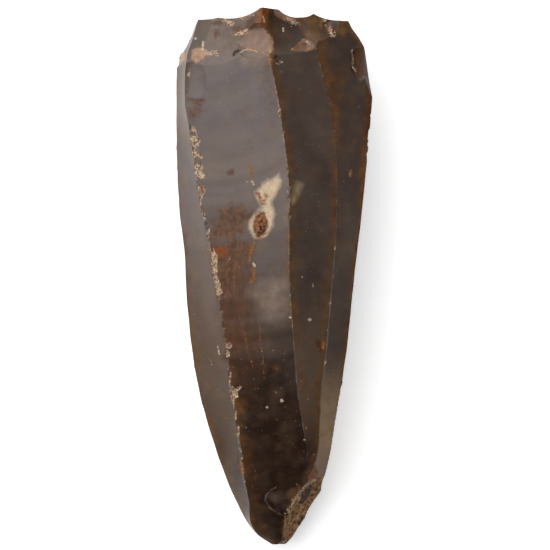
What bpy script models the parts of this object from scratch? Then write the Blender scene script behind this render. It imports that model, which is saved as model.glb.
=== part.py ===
"""Flint blade core, lying on its flat back with its knapped face up.

The stone is made in the order that a knapper works in. A blank carries the long blade scars,
which meet in arrises that run from the striking platform down to the tip. Shorter flakes are
then struck off it: the platform itself, the trimming along its rim, the flanks and the back,
and what broke away at the tip, where weathered cortex is left.

+Y runs from the tip to the platform, +Z up out of the knapped face, and the origin is the
middle of the footprint. Metres.
"""

import math
from dataclasses import dataclass

import bmesh
import bpy
import numpy as np
from mathutils import Matrix, Vector

MM = 0.001

# Driving dimensions.
LENGTH = 140 * MM
WIDTH = 51 * MM
HEIGHT = 32 * MM

# The blank runs this far past the platform, in shares of the LENGTH, and has this many rings.
OVERRUN = 1.06
RINGS = 50

# The blank's outline from above and from the side. Each pair is a place, as a share of the
# LENGTH from the tip, and a value: a share of half the WIDTH for the edges, and of the HEIGHT
# for the crest and the back.
LEFT_OUTLINE = (
    (0.0, -0.02), (0.015, -0.15), (0.03, -0.23), (0.08, -0.385), (0.16, -0.56),
    (0.30, -0.78), (0.45, -0.885), (0.60, -0.95), (0.80, -1.0), (0.865, -1.0),
    (0.909, -0.975), (0.948, -0.86), (0.981, -0.79), (1.06, -0.70),
)
RIGHT_OUTLINE = (
    (0.0, 0.12), (0.015, 0.23), (0.03, 0.30), (0.07, 0.472), (0.12, 0.547),
    (0.16, 0.641), (0.20, 0.68), (0.26, 0.689), (0.38, 0.755), (0.60, 0.89), (0.80, 0.995),
    (0.843, 1.0), (0.888, 0.998), (0.921, 0.942), (0.944, 0.895), (0.969, 0.79), (1.06, 0.61),
)
CREST = (
    (0.0, 0.32), (0.04, 0.45), (0.12, 0.62), (0.25, 0.80), (0.45, 0.95), (0.65, 1.0),
    (0.85, 0.99), (1.0, 0.96),
)
BACK = ((0.0, 0.18), (0.05, 0.10), (0.13, 0.03), (0.22, 0.0), (1.0, 0.0))

# The platform end is a hollow scar. Its plane stands at this share of the LENGTH from the
# middle, and leans back under the knapped face by this many degrees.
PLATFORM_AT = 0.5305
PLATFORM_LEAN = 11

# A flake's cutter is the lower half of an ellipsoid, drawn straight out of the stone above
# its widest part. Half the ellipsoid's height is this many times the depth of the scar, and
# the shorter one ends the scar in a steep step and not in a feather edge.
FEATHERED = 4.5
STEPPED = 0.9
DRAWN_OUT = 10 * MM
CUTTER_SEGMENTS = 22
CUTTER_RINGS = 24

FLINT_COLOUR = (0.10, 0.075, 0.06)
FLINT_ROUGHNESS = 0.4


def all_along(value):
    """A curve that has one value from the tip to the platform."""
    return ((0.0, value), (1.0, value))


@dataclass(frozen=True)
class Arris:
    """An edge of the blank that runs its whole length, and the scar between it and the next.

    across is its share of the way from the left outline to the right one, and up its share
    of the way from the back to the crest. hollow is how deep the scar after it is, as a share
    of that scar's width, and facets is how many strips the scar has.
    """

    across: tuple
    up: tuple
    hollow: tuple
    facets: int


LEFT_EDGE = Arris(
    across=all_along(0.0),
    up=((0.0, 0.50), (0.08, 0.52), (0.18, 0.60), (0.30, 0.60), (0.60, 0.58), (1.0, 0.56)),
    hollow=all_along(0.028),
    facets=4,
)
LEFT_ARRIS = Arris(
    across=(
        (0.0, 0.02), (0.03, 0.035), (0.08, 0.146), (0.16, 0.187), (0.26, 0.226),
        (0.38, 0.222), (0.46, 0.197), (0.52, 0.167), (0.60, 0.136), (0.68, 0.105),
        (0.76, 0.078), (0.83, 0.046), (0.90, 0.05), (1.0, 0.07),
    ),
    up=((0.0, 0.75), (0.12, 0.84), (0.45, 0.84), (0.75, 0.80), (1.0, 0.78)),
    hollow=((0.0, -0.06), (0.14, -0.03), (0.30, 0.02), (1.0, 0.026)),
    facets=7,
)
MIDDLE_ARRIS = Arris(
    across=(
        (0.0, 0.62), (0.12, 0.735), (0.22, 0.719), (0.38, 0.657), (0.52, 0.611),
        (0.68, 0.592), (0.82, 0.524), (1.0, 0.43),
    ),
    up=((0.0, 0.84), (0.12, 0.88), (0.22, 0.93), (0.34, 1.0), (1.0, 1.0)),
    hollow=((0.0, -0.02), (0.18, 0.0), (0.34, 0.034), (1.0, 0.034)),
    facets=5,
)
RIGHT_ARRIS = Arris(
    across=(
        (0.0, 0.80), (0.15, 0.825), (0.26, 0.853), (0.45, 0.870), (0.60, 0.865),
        (0.75, 0.825), (0.88, 0.745), (1.0, 0.70),
    ),
    up=((0.0, 0.80), (0.20, 0.84), (0.60, 0.80), (0.85, 0.84), (1.0, 0.88)),
    hollow=all_along(0.030),
    facets=4,
)
RIGHT_EDGE = Arris(
    across=all_along(1.0),
    up=((0.0, 0.45), (0.08, 0.56), (0.20, 0.70), (0.36, 0.71), (0.60, 0.70), (1.0, 0.66)),
    hollow=all_along(0.03),
    facets=3,
)
RIGHT_KEEL = Arris(across=all_along(0.70), up=all_along(0), hollow=all_along(0), facets=1)
LEFT_KEEL = Arris(across=all_along(0.29), up=all_along(0), hollow=all_along(0.03), facets=3)
ARRISES = (
    LEFT_EDGE, LEFT_ARRIS, MIDDLE_ARRIS, RIGHT_ARRIS, RIGHT_EDGE, RIGHT_KEEL, LEFT_KEEL,
)


@dataclass(frozen=True)
class Flake:
    """One flake scar, with its width, length and depth in millimetres.

    around counts ARRISES, from 0 at the left edge, and along is the share of the LENGTH from
    the tip. The scar faces straight out of the blank there, until lean turns it to face the
    platform and roll to face the next arris, in degrees. heading turns its length.
    """

    name: str
    around: float
    along: float
    width: float
    length: float
    depth: float
    lean: float = 0.0
    roll: float = 0.0
    heading: float = 0.0
    reach: float = FEATHERED


@dataclass(frozen=True)
class PlatformFlake:
    """A flake scar on the platform end, centred at (across, up) in millimetres there.

    lean turns it to face up and turn to face the right, in degrees.
    """

    name: str
    across: float
    up: float
    width: float
    height: float
    depth: float
    lean: float = 0.0
    turn: float = 0.0
    reach: float = FEATHERED


PLATFORM_FLAKES = (
    PlatformFlake("platform", 0, 8, 124, 96, 4.0),
    PlatformFlake("platform_left", -18.5, 20, 22, 28, 4.6, turn=-2, reach=1.0),
    PlatformFlake("platform_middle", -10.5, 22, 12.6, 20, 5.8, reach=0.7),
    PlatformFlake("platform_right", 5.0, 22, 17.6, 28, 5.4, reach=1.5),
    PlatformFlake("platform_far_right", 16.5, 17, 19.6, 28, 5.2, turn=2, reach=1.0),
    PlatformFlake("platform_right_foot", 11.0, -4, 36, 36, 6.8, lean=-10, turn=4),
    PlatformFlake("platform_left_foot", -10.0, -5, 36, 33, 7.2, lean=-12, turn=-8),
)
RIM_FLAKES = (
    Flake("left_trim", 1.3, 0.965, 23, 30, 2.4, lean=7),
    Flake("peak_trim", 1.8, 0.99, 18, 16.5, 2.0, lean=12),
    Flake("step_scar", 1.84, 0.938, 12.8, 9.4, 1.8, lean=7, reach=STEPPED),
    Flake("middle_trim", 2.45, 0.96, 19, 23, 2.2, lean=5),
    Flake("right_trim", 3.15, 0.985, 16.5, 19, 2.0, lean=12),
    Flake("right_nick", 3.95, 0.885, 9.6, 15, 0.8),
)
TIP_FLAKES = (
    Flake("cortex", 3.715, 0.078, 17.8, 30.8, 2.1, lean=-10, roll=-1.4, heading=-1.4),
    Flake("tip_shell", 1.86, 0.086, 8.5, 10.4, 0.6, lean=-4),
    Flake("right_tip", 4.8, 0.12, 12.4, 22, 1.3),
)
BACK_FLAKES = (
    Flake("left_flank_low", -0.42, 0.36, 18, 47, 2.8, roll=-8),
    Flake("left_flank_high", -0.4, 0.72, 19, 55, 3.6, roll=-6),
    Flake("left_back", -0.7, 0.54, 22, 49, 3.6, roll=-8),
    Flake("left_heel", -0.6, 0.93, 27, 41, 4.4, roll=-4),
    Flake("right_flank_low", 4.4, 0.30, 18, 49, 3.2, roll=4),
    Flake("right_back", 4.7, 0.56, 23, 60, 4.4, roll=10),
    Flake("right_heel", 4.5, 0.86, 23, 47, 4.0, roll=4),
    Flake("heel", 5.6, 0.955, 60, 49, 6.0, lean=6),
    Flake("belly", 5.3, 0.30, 47, 36, 2.0),
)


def curve(points, share):
    """A smooth curve through the (share, value) points, without bumps between them."""
    x, y = np.array(points).T
    steps = np.diff(y) / np.diff(x)
    slopes = np.concatenate([steps[:1], (steps[1:] + steps[:-1]) / 2, steps[-1:]])
    turning = np.concatenate([[False], steps[1:] * steps[:-1] <= 0, [False]])
    slopes[turning] = 0.0
    k = min(max(int(np.searchsorted(x, share, side="right")) - 1, 0), len(x) - 2)
    span = x[k + 1] - x[k]
    t = (share - x[k]) / span
    return float(
        (1 + 2 * t) * (1 - t) ** 2 * y[k]
        + t * (1 - t) ** 2 * span * slopes[k]
        + t * t * (3 - 2 * t) * y[k + 1]
        + t * t * (t - 1) * span * slopes[k + 1]
    )


def corners(share):
    """The places of the arrises at this share of the length, as (x, z)."""
    left = curve(LEFT_OUTLINE, share) * WIDTH / 2
    right = curve(RIGHT_OUTLINE, share) * WIDTH / 2
    back = curve(BACK, share) * HEIGHT
    crest = curve(CREST, share) * HEIGHT
    return [
        Vector((
            left + (right - left) * curve(arris.across, share),
            back + (crest - back) * curve(arris.up, share),
        ))
        for arris in ARRISES
    ]


def on_blank(around, share):
    """A point of the blank's surface, as around and along say for a Flake."""
    ends = corners(share)
    k = math.floor(around) % len(ends)
    t = around - math.floor(around)
    chord = ends[(k + 1) % len(ends)] - ends[k]
    inward = Vector((chord.y, -chord.x)) * curve(ARRISES[k].hollow, share)
    spot = ends[k] + chord * t + inward * 4 * t * (1 - t)
    return Vector((spot.x, (share - 0.5) * LENGTH, spot.y))


def on_surface(around, share):
    """The frame of the blank's surface there: X to the next arris, Y to the platform, Z out."""
    across = (on_blank(around + 0.1, share) - on_blank(around - 0.1, share)).normalized()
    lengthwise = on_blank(around, share + 0.01) - on_blank(around, share - 0.01)
    out = across.cross(lengthwise).normalized()
    axes = Matrix((across, out.cross(across), out)).transposed().to_4x4()
    return Matrix.Translation(on_blank(around, share)) @ axes


def turned(degrees, axis):
    """A rotation by this many degrees about one axis."""
    return Matrix.Rotation(math.radians(degrees), 4, axis)


def made(bm, name):
    """An object in the scene that holds this bmesh."""
    mesh = bpy.data.meshes.new(name)
    bm.to_mesh(mesh)
    bm.free()
    thing = bpy.data.objects.new(name, mesh)
    bpy.context.scene.collection.objects.link(thing)
    return thing


def blank():
    """The stone with its long blade scars, as one lofted solid."""
    bm = bmesh.new()
    loops = [
        [
            bm.verts.new(on_blank(k + step / arris.facets, share))
            for k, arris in enumerate(ARRISES)
            for step in range(arris.facets)
        ]
        for share in np.linspace(0, OVERRUN, RINGS)
    ]
    for lower, upper in zip(loops, loops[1:], strict=False):
        for k in range(len(lower)):
            after = (k + 1) % len(lower)
            bm.faces.new((lower[k], lower[after], upper[after], upper[k]))
    bm.faces.new(loops[0])
    bm.faces.new(loops[-1])
    bmesh.ops.recalc_face_normals(bm, faces=bm.faces)
    return made(bm, "blade_core")


def cutter(name, place, radii):
    """The lower half of an ellipsoid round this place, drawn out of the stone above that."""
    bm = bmesh.new()
    bmesh.ops.create_uvsphere(
        bm, u_segments=CUTTER_SEGMENTS, v_segments=CUTTER_RINGS, radius=1.0
    )
    bmesh.ops.bisect_plane(
        bm, geom=bm.verts[:] + bm.edges[:] + bm.faces[:],
        plane_co=(0, 0, 0), plane_no=(0, 0, 1), clear_outer=True,
    )
    brim = [edge for edge in bm.edges if edge.is_boundary]
    drawn = bmesh.ops.extrude_edge_only(bm, edges=brim)["geom"]
    for vert in drawn:
        if isinstance(vert, bmesh.types.BMVert):
            vert.co.z += DRAWN_OUT / radii[2]
    bmesh.ops.holes_fill(bm, edges=bm.edges)
    bmesh.ops.recalc_face_normals(bm, faces=bm.faces)
    bmesh.ops.transform(bm, matrix=place @ Matrix.Diagonal((*radii, 1)), verts=bm.verts)
    return made(bm, name)


def take_off(core, name, place, width, length, depth, reach):
    """Cuts a scar out of the core with a cutter that stands over its place."""
    spread = math.sqrt(1 - (1 - 1 / reach) ** 2)
    radii = (width / 2 / spread * MM, length / 2 / spread * MM, reach * depth * MM)
    lift = Matrix.Translation((0, 0, (reach - 1) * depth * MM))
    struck = cutter("struck_" + name, place @ lift, radii)
    struck.hide_render = True
    struck.display_type = "WIRE"
    cut = core.modifiers.new(name, "BOOLEAN")
    cut.operation = "DIFFERENCE"
    cut.object = struck


def strike_platform(core, flake):
    """Takes one flake off the platform end."""
    place = Matrix.Translation((0, PLATFORM_AT * LENGTH, HEIGHT))
    place @= turned(-90 - PLATFORM_LEAN, "X")
    place @= Matrix.Translation((flake.across * MM, HEIGHT - flake.up * MM, 0))
    place @= turned(flake.lean, "X") @ turned(flake.turn, "Y")
    take_off(core, flake.name, place, flake.width, flake.height, flake.depth, flake.reach)


def strike(core, flake):
    """Takes one flake off the knapped face, a flank or the back."""
    place = on_surface(flake.around, flake.along)
    place @= turned(flake.roll, "Y") @ turned(-flake.lean, "X") @ turned(flake.heading, "Z")
    take_off(core, flake.name, place, flake.width, flake.length, flake.depth, flake.reach)


def flint():
    """The stone's plain material."""
    material = bpy.data.materials.new("flint")
    material.use_nodes = True
    shader = material.node_tree.nodes["Principled BSDF"]
    shader.inputs["Base Color"].default_value = (*FLINT_COLOUR, 1)
    shader.inputs["Roughness"].default_value = FLINT_ROUGHNESS
    return material


def main():
    for old in list(bpy.data.objects):
        bpy.data.objects.remove(old)
    core = blank()
    for flake in PLATFORM_FLAKES:
        strike_platform(core, flake)
    for flake in RIM_FLAKES + TIP_FLAKES + BACK_FLAKES:
        strike(core, flake)
    core.data.materials.append(flint())


main()
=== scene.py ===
"""Looks of a knapped flint blade core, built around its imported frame.

The stone is one closed mesh. Its long blade scars follow the same named curves as the frame's
solid, and every shorter flake, chip and step is struck off it as an ellipsoid. The surface is
found by casting a net of lines out from the stone's axis, and each corner of the mesh is put
where the scars around it meet, so that arrises stay as sharp as a knapped edge.

+X is to the right of the knapped face, +Y from its tip to its striking platform, and +Z out
of it. The frame is in metres. Flakes and stains are sized and placed in millimetres, as
(to the right of the middle line, up from the tip).
"""

import logging
import math
from collections.abc import Iterator
from dataclasses import dataclass, replace
from enum import Enum

import bpy
import numpy as np
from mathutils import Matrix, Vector, noise


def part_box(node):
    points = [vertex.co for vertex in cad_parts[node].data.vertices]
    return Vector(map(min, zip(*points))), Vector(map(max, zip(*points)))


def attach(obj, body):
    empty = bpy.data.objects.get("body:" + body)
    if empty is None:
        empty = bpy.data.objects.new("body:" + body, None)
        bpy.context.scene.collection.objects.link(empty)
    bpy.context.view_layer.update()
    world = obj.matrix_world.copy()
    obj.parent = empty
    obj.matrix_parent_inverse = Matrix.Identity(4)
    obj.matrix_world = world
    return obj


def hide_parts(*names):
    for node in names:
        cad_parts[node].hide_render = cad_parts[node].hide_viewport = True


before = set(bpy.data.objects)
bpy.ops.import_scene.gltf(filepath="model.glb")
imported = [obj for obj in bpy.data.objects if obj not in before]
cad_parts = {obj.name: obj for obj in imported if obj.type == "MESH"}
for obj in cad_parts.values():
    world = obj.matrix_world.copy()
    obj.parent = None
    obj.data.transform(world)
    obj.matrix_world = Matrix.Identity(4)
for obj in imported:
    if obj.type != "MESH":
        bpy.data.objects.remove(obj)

MM = 0.001
LOG = logging.getLogger("blade_core")
NODE = "blade_core"

Array = np.ndarray
Socket = bpy.types.NodeSocket
Curve = tuple[tuple[float, float], ...]

# Half the height of a flake's ellipsoid, as a multiple of the depth of its scar. The shorter
# one ends the scar in a steep step and not in a feather edge.
FEATHERED = 4.5
STEPPED = 0.9

# The numbers of some arrises. The long scars before the right edge are the knapped face.
CREST, RIGHT_EDGE, BACK = 2, 4, 5

# Keeps a division by a length of nothing from failing.
TINY = 1e-12


class Patina(Enum):
    """How the surface of a scar has weathered."""

    FLINT = "flint"
    CHALKY = "chalky"
    PALE = "pale_scar"
    RUSTY = "rusty"
    RIND = "rind"


def all_along(value: float) -> Curve:
    """A curve that has one value from the tip to the platform."""
    return ((0, value), (1, value))


def follow(points: Curve, share: Array) -> Array:
    """Reads a smooth curve that has no bumps between its points.

    Args:
        points: Pairs of a place along the curve and the value there, in order.
        share: The places to read.

    Returns:
        The value at each place.
    """
    x, y = np.array(points, float).T
    steps = np.diff(y) / np.diff(x)
    slopes = np.concatenate([steps[:1], (steps[1:] + steps[:-1]) / 2, steps[-1:]])
    turning = np.concatenate([[False], steps[1:] * steps[:-1] <= 0, [False]])
    slopes[turning] = 0.0
    k = np.clip(np.searchsorted(x, share, side="right") - 1, 0, len(x) - 2)
    span = x[k + 1] - x[k]
    t = (share - x[k]) / span
    return (
        (1 + 2 * t) * (1 - t) ** 2 * y[k]
        + t * (1 - t) ** 2 * span * slopes[k]
        + t * t * (3 - 2 * t) * y[k + 1]
        + t * t * (t - 1) * span * slopes[k + 1]
    )


def level(points: Curve, share: Array) -> Array:
    """Reads a curve of straight runs, which is level beyond its ends."""
    return np.interp(share, *np.array(points).T)


def ease(value: Array) -> Array:
    """Turns a value that runs from 0 to 1 into one with soft ends, held at 0 and 1 outside."""
    held = np.clip(value, 0.0, 1.0)
    return held * held * (3 - 2 * held)


def turn(degrees: float, axis: str) -> Array:
    """Makes a rotation.

    Args:
        degrees: How far it turns, anticlockwise.
        axis: The axis that it turns about: X, Y or Z.

    Returns:
        The 3 by 3 matrix.
    """
    c, s = math.cos(math.radians(degrees)), math.sin(math.radians(degrees))
    a, b = {"X": (1, 2), "Y": (2, 0), "Z": (0, 1)}[axis]
    made = np.eye(3)
    made[a, a] = made[b, b] = c
    made[a, b], made[b, a] = -s, s
    return made


def unit(vectors: Array) -> Array:
    """The vectors at length one."""
    return vectors / np.maximum(np.linalg.norm(vectors, axis=-1, keepdims=True), TINY)


def rough(points: Array, size: float, seed: float = 0.0) -> Array:
    """Smooth noise from -1 to 1 at each point, with lumps of about this size in metres."""
    spread = points / size + seed
    return np.array([noise.noise(Vector(p)) for p in spread.reshape(-1, 3)])


@dataclass(frozen=True)
class Arris:
    """An edge of the blank that runs its whole length, and the scar between it and the next.

    across is its share of the way from the left outline to the right one, and up its share
    of the way from the back to the crest. hollow is how deep the scar after it is, as a share
    of that scar's width. strips is how many strips of the mesh the scar has, and ripple is how
    high the ripples of its blow stand, in millimetres. blow is how far across the scar the blow
    fell, from 0 to 1.
    """

    across: Curve
    up: Curve
    hollow: Curve
    strips: int
    ripple: float = 0.03
    blow: float = 0.5


@dataclass(frozen=True)
class Flake:
    """One flake scar, with its width, length and depth in millimetres.

    around and along say where it is. On the blank, around counts the arrises from 0 at the left
    edge, and along is the share of the length from the tip. Trimming and nicks have millimetres
    in their stead, to the right of the middle line and up from the tip, and the platform's
    flakes have them to the right and up as seen from that end. The scar faces straight out
    there, until lean turns it to face the platform and roll to face the next arris, in degrees,
    or on the platform up and to the right. heading turns its length. reach is half the height
    of its ellipsoid, as a multiple of its depth.
    """

    around: float
    along: float
    width: float
    length: float
    depth: float
    lean: float = 0.0
    roll: float = 0.0
    heading: float = 0.0
    reach: float = FEATHERED
    patina: Patina = Patina.FLINT


@dataclass(frozen=True)
class Crushing:
    """A run of tiny flakes, crushed off an arris by later knocks.

    around is the arris and how far beside it they sit, low and high are the ends of the run
    as shares of the length, and size and depth are the smallest and the largest, in
    millimetres. spread is how far they stray from the arris, and bare the share of them that
    show clean flint. slim is how many times longer than wide they are, reach how steep, and
    skew, lean and roll how far they may turn off the arris, in degrees.
    """

    around: float
    low: float
    high: float
    count: int
    size: tuple[float, float]
    depth: tuple[float, float]
    spread: float = 0.03
    bare: float = 0.35
    slim: tuple[float, float] = (0.7, 2.0)
    skew: float = 50.0
    patina: Patina = Patina.CHALKY
    lean: float = 14.0
    roll: float = 16.0
    reach: tuple[float, float] = (0.8, 2.0)

    def flakes(self, seed: int) -> Iterator[Flake]:
        """Draws the flakes of the run.

        Args:
            seed: The number that the draws start from, which gives the same flakes each time.

        Yields:
            The flakes.
        """
        draw = np.random.default_rng(seed)
        for _ in range(self.count):
            width = self.size[0] + (self.size[1] - self.size[0]) * draw.uniform() ** 2
            yield Flake(
                around=self.around + draw.uniform(-self.spread, self.spread),
                along=draw.uniform(self.low, self.high),
                width=width,
                length=width * draw.uniform(*self.slim),
                depth=draw.uniform(*self.depth),
                lean=draw.uniform(-self.lean, self.lean),
                roll=draw.uniform(-self.roll, self.roll),
                heading=draw.uniform(-self.skew, self.skew),
                reach=draw.uniform(*self.reach),
                patina=Patina.FLINT if draw.uniform() < self.bare else self.patina,
            )


@dataclass(frozen=True)
class Ripples:
    """The waves that a blow sends along the blank's long scars, with lengths in millimetres.

    They ring a place that is above the platform, and are bow times as bent as rings. Those of
    each scar start stagger further on than those of the scar before. A finer wave, fine times
    as high, lies on them. Their height swells and falls over beat, down to ebb of the whole,
    and beat_stagger moves the swell from scar to scar, in radians.
    """

    above: float = 12.0
    bow: float = 1.2
    stagger: float = 9.0
    spacing: float = 7.9
    fine_spacing: float = 3.1
    fine: float = 0.35
    beat: float = 11.3
    beat_stagger: float = 1.7
    ebb: float = 0.35

    def height(self, below: Array, beside: Array, scar: Array) -> Array:
        """Finds how high the waves stand.

        Args:
            below: How far each point is below the platform.
            beside: How far it is beside the blow.
            scar: The number of its scar.

        Returns:
            Their height at each point, which is about 1 at most.
        """
        run = np.hypot(below + self.above, self.bow * beside) + self.stagger * scar
        swell = self.ebb + (1 - self.ebb) * np.sin(run / self.beat + self.beat_stagger * scar) ** 2
        waves = np.sin(run * math.tau / self.spacing)
        return swell * (waves + self.fine * np.sin(run * math.tau / self.fine_spacing))


@dataclass(frozen=True)
class Blank:
    """The stone before its short flakes: long scars that meet in arrises.

    Outlines are shares of half the width, and crest and back are shares of the height, at
    places that are shares of the length from the tip.
    """

    low: Array
    high: Array
    left_outline: Curve = (
        (0, -0.02), (0.015, -0.15), (0.03, -0.23), (0.08, -0.385), (0.16, -0.56), (0.3, -0.78),
        (0.46, -0.893), (0.55, -0.917), (0.62, -0.965), (0.8, -1), (0.865, -1), (0.909, -0.975),
        (0.948, -0.86), (0.981, -0.79), (1.06, -0.7),
    )
    right_outline: Curve = (
        (0, 0.12), (0.015, 0.23), (0.03, 0.3), (0.07, 0.472), (0.12, 0.547), (0.16, 0.65),
        (0.2, 0.679), (0.26, 0.678), (0.38, 0.752), (0.53, 0.837), (0.6, 0.884), (0.8, 0.99),
        (0.843, 1.005), (0.888, 0.99), (0.921, 0.943), (0.944, 0.878), (0.969, 0.785), (1.06, 0.61),
    )
    crest: Curve = (
        (0, 0.32), (0.04, 0.45), (0.12, 0.62), (0.25, 0.8), (0.45, 0.95), (0.65, 1), (0.85, 0.99),
        (1, 0.96),
    )
    back: Curve = ((0, 0.18), (0.05, 0.1), (0.13, 0.03), (0.22, 0), (1, 0))
    arrises: tuple[Arris, ...] = (
        Arris(
            across=all_along(0),
            up=((0, 0.5), (0.08, 0.52), (0.18, 0.6), (0.3, 0.6), (0.6, 0.58), (1, 0.56)),
            hollow=all_along(0.028),
            strips=24,
        ),
        Arris(
            across=(
                (0, 0.02), (0.03, 0.035), (0.08, 0.146), (0.16, 0.187), (0.26, 0.226), (0.38, 0.222),
                (0.46, 0.197), (0.52, 0.167), (0.6, 0.136), (0.68, 0.105), (0.76, 0.078), (0.83, 0.046),
                (0.9, 0.048), (0.94, 0.028), (0.97, 0.01), (1, 0),
            ),
            up=((0, 0.75), (0.12, 0.84), (0.45, 0.84), (0.75, 0.8), (1, 0.78)),
            hollow=((0, -0.06), (0.14, -0.03), (0.3, 0.02), (1, 0.026)),
            strips=58,
            ripple=0.045,
            blow=0.1,
        ),
        Arris(
            across=(
                (0, 0.62), (0.12, 0.735), (0.22, 0.719), (0.38, 0.657), (0.52, 0.611), (0.68, 0.592),
                (0.82, 0.524), (1, 0.43),
            ),
            up=((0, 0.84), (0.12, 0.88), (0.22, 0.93), (0.34, 1), (1, 1)),
            hollow=((0, -0.02), (0.18, 0), (0.34, 0.034), (1, 0.034)),
            strips=34,
        ),
        Arris(
            across=(
                (0, 0.8), (0.15, 0.812), (0.2, 0.831), (0.26, 0.853), (0.45, 0.87), (0.6, 0.865),
                (0.75, 0.825), (0.88, 0.745), (1, 0.7),
            ),
            up=((0, 0.8), (0.2, 0.84), (0.6, 0.8), (0.85, 0.84), (1, 0.88)),
            hollow=all_along(0.03),
            strips=28,
        ),
        Arris(
            across=all_along(1),
            up=((0, 0.45), (0.08, 0.56), (0.2, 0.7), (0.36, 0.71), (0.6, 0.7), (1, 0.66)),
            hollow=all_along(0.03),
            strips=22,
        ),
        Arris(all_along(0.7), up=all_along(0), hollow=all_along(0), strips=12, ripple=0),
        Arris(all_along(0.29), up=all_along(0), hollow=all_along(0.03), strips=22),
    )
    blows: Ripples = Ripples()

    @property
    def length(self) -> float:
        """From the tip to the platform."""
        return self.high[1] - self.low[1]

    @property
    def height(self) -> float:
        """From the back to the crest."""
        return self.high[2] - self.low[2]

    @property
    def middle_line(self) -> float:
        """The x of the middle line."""
        return (self.low[0] + self.high[0]) / 2

    def outline(self, curve: Curve, share: Array) -> Array:
        """The x of an outline at each share of the length."""
        return self.middle_line + follow(curve, share) * (self.high[0] - self.low[0]) / 2

    def corners(self, share: Array) -> Array:
        """Finds where the arrises are.

        Args:
            share: Shares of the length from the tip.

        Returns:
            The places, as shares by arrises by x and z.
        """
        left, right = (self.outline(c, share) for c in (self.left_outline, self.right_outline))
        back, crest = (self.low[2] + follow(c, share) * self.height for c in (self.back, self.crest))
        x = [left + (right - left) * follow(a.across, share) for a in self.arrises]
        z = [back + (crest - back) * follow(a.up, share) for a in self.arrises]
        return np.stack([np.stack(x, -1), np.stack(z, -1)], -1)

    def middle(self, share: Array) -> Array:
        """Finds points well inside the stone.

        Args:
            share: Shares of the length from the tip.

        Returns:
            A point at each share.
        """
        ends = self.corners(share)
        y = self.low[1] + share * self.length
        x = (ends[:, 0, 0] + ends[:, RIGHT_EDGE, 0]) / 2
        z = (ends[:, CREST, 1] + ends[:, BACK, 1]) / 2
        return np.stack([x, y, z], -1)

    def surface(self, which: Array, t: Array, share: Array) -> Array:
        """Finds points of the blank.

        Args:
            which: The number of the scar that each column of points is on.
            t: How far across its scar each column is, from 0 to 1.
            share: The share of the length that each row of points is at.

        Returns:
            The points, as rows by columns by x, y and z.
        """
        ends = self.corners(share)
        first, last = ends[:, which], ends[:, (which + 1) % len(self.arrises)]
        chord = last - first
        inward = np.stack([chord[..., 1], -chord[..., 0]], -1)
        hollows = np.stack([follow(a.hollow, share) for a in self.arrises], -1)[:, which]
        flat = first + chord * t[:, None] + inward * (hollows * 4 * t * (1 - t))[..., None]
        y = np.broadcast_to((self.low[1] + share * self.length)[:, None], flat.shape[:2])
        return np.stack([flat[..., 0], y, flat[..., 1]], -1)

    def normals(self, which: Array, t: Array, share: Array) -> Array:
        """Finds which way the blank faces at points that surface gives.

        Args:
            which: The number of the scar that each column of points is on.
            t: How far across its scar each column is, from 0 to 1.
            share: The share of the length that each row of points is at.

        Returns:
            The directions, at length one.
        """
        step = 1e-3
        across = self.surface(which, t + step, share) - self.surface(which, t - step, share)
        along = self.surface(which, t, share + step) - self.surface(which, t, share - step)
        return unit(np.cross(across, along))

    def ripples(self, which: Array, t: Array, share: Array) -> Array:
        """Finds how far the ripples of each long scar's blow stand out of its surface.

        Args:
            which: The number of the scar that each column of points is on.
            t: How far across its scar each column is, from 0 to 1.
            share: The share of the length that each row of points is at.

        Returns:
            The heights, as rows by columns.
        """
        ends = self.corners(share)
        chord = ends[:, (which + 1) % len(self.arrises)] - ends[:, which]
        blow, high = np.array([(a.blow, a.ripple) for a in self.arrises])[which].T
        beside = (t - blow) * np.linalg.norm(chord, axis=-1) / MM
        below = (1 - share)[:, None] * self.length / MM
        return high * MM * self.blows.height(below, beside, which)

    def spot(self, around: float, along: float) -> Array:
        """Finds one point of the blank.

        Args:
            around: The number of the arris before it, and how far it is on to the next.
            along: Its share of the length from the tip.

        Returns:
            The point.
        """
        which = np.array([math.floor(around) % len(self.arrises)])
        t = np.array([around - math.floor(around)])
        return self.surface(which, t, np.array([along]))[0, 0]

    def axes(self, around: float, along: float) -> Array:
        """Finds the blank's own axes at a spot.

        Args:
            around: The number of the arris before it, and how far it is on to the next.
            along: Its share of the length from the tip.

        Returns:
            The axes to the next arris, to the platform and out, as the columns of a matrix.
        """
        beside, above = 0.1, 0.01
        across = unit(self.spot(around + beside, along) - self.spot(around - beside, along))
        along_it = self.spot(around, along + above) - self.spot(around, along - above)
        out = unit(np.cross(across, along_it))
        return np.stack([across, np.cross(out, across), out], -1)

    def locate(self, right: float, up: float) -> tuple[float, float]:
        """Finds a place of the knapped face.

        Args:
            right: How far it is to the right of the middle line, in millimetres.
            up: How far it is up from the tip, in millimetres.

        Returns:
            Its place around the arrises, and its share of the length.
        """
        along = up * MM / self.length
        edges = self.corners(np.array([along]))[0, :RIGHT_EDGE + 1, 0]
        x = self.middle_line + right * MM
        scar = int(np.clip(np.searchsorted(edges, x) - 1, 0, RIGHT_EDGE - 1))
        t = (x - edges[scar]) / (edges[scar + 1] - edges[scar])
        return scar + t, along


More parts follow.
